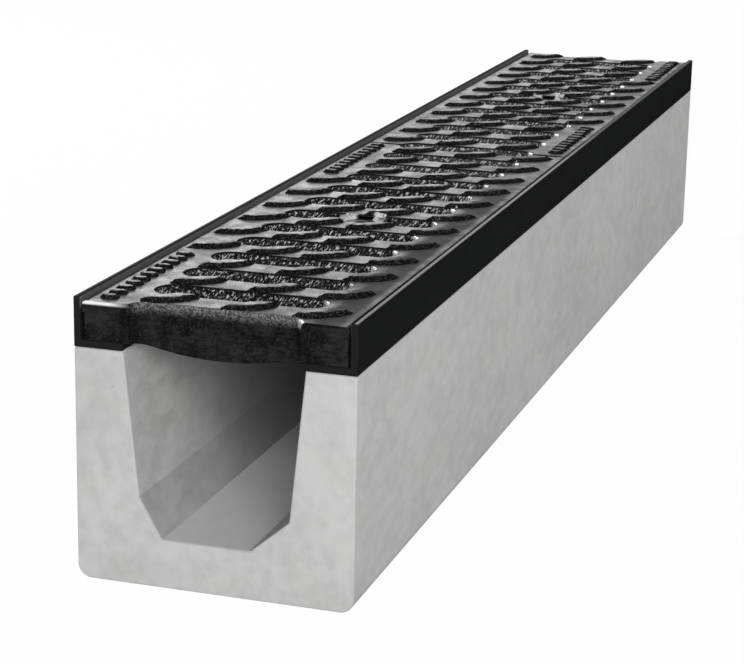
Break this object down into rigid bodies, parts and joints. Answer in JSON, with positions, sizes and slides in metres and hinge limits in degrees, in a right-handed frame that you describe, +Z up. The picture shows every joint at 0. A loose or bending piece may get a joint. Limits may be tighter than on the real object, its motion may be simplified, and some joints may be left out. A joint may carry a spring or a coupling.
{
  "type": "concrete channel drain",
  "caption": "Straight concrete drainage channel with a tapered water way, black edge rails along both upper edges, and slotted cast iron gratings with raised studs, bolted down from above.",
  "frame": {"origin": "middle of the flat underside of the concrete body", "axes": "+Y along the channel, with the end that the picture shows at -Y, +X to the right of someone who looks along +Y, +Z up"},
  "size_m": [0.16, 1, 0.16],
  "materials": {
    "concrete": "smooth cast concrete, light grey with faint cloudy mottling",
    "rail_coating": "black satin coating on steel angle",
    "anchor_steel": "plain rolled steel strip, cast into the concrete",
    "grating_iron": "black dipped ductile iron with a rough cast skin",
    "bolt_steel": "dark oxide steel"
  },
  "bodies": {
    "root": {"channel_body": "concrete", "edge_rail_left": "rail_coating", "edge_rail_right": "rail_coating", "rail_anchors_left": "anchor_steel", "rail_anchors_right": "anchor_steel", "grating_front": "grating_iron", "grating_rear": "grating_iron", "lock_bolt_front": "bolt_steel", "lock_bolt_rear": "bolt_steel", "lock_bar_front": "bolt_steel", "lock_bar_rear": "bolt_steel"}
  },
  "joints": []
}
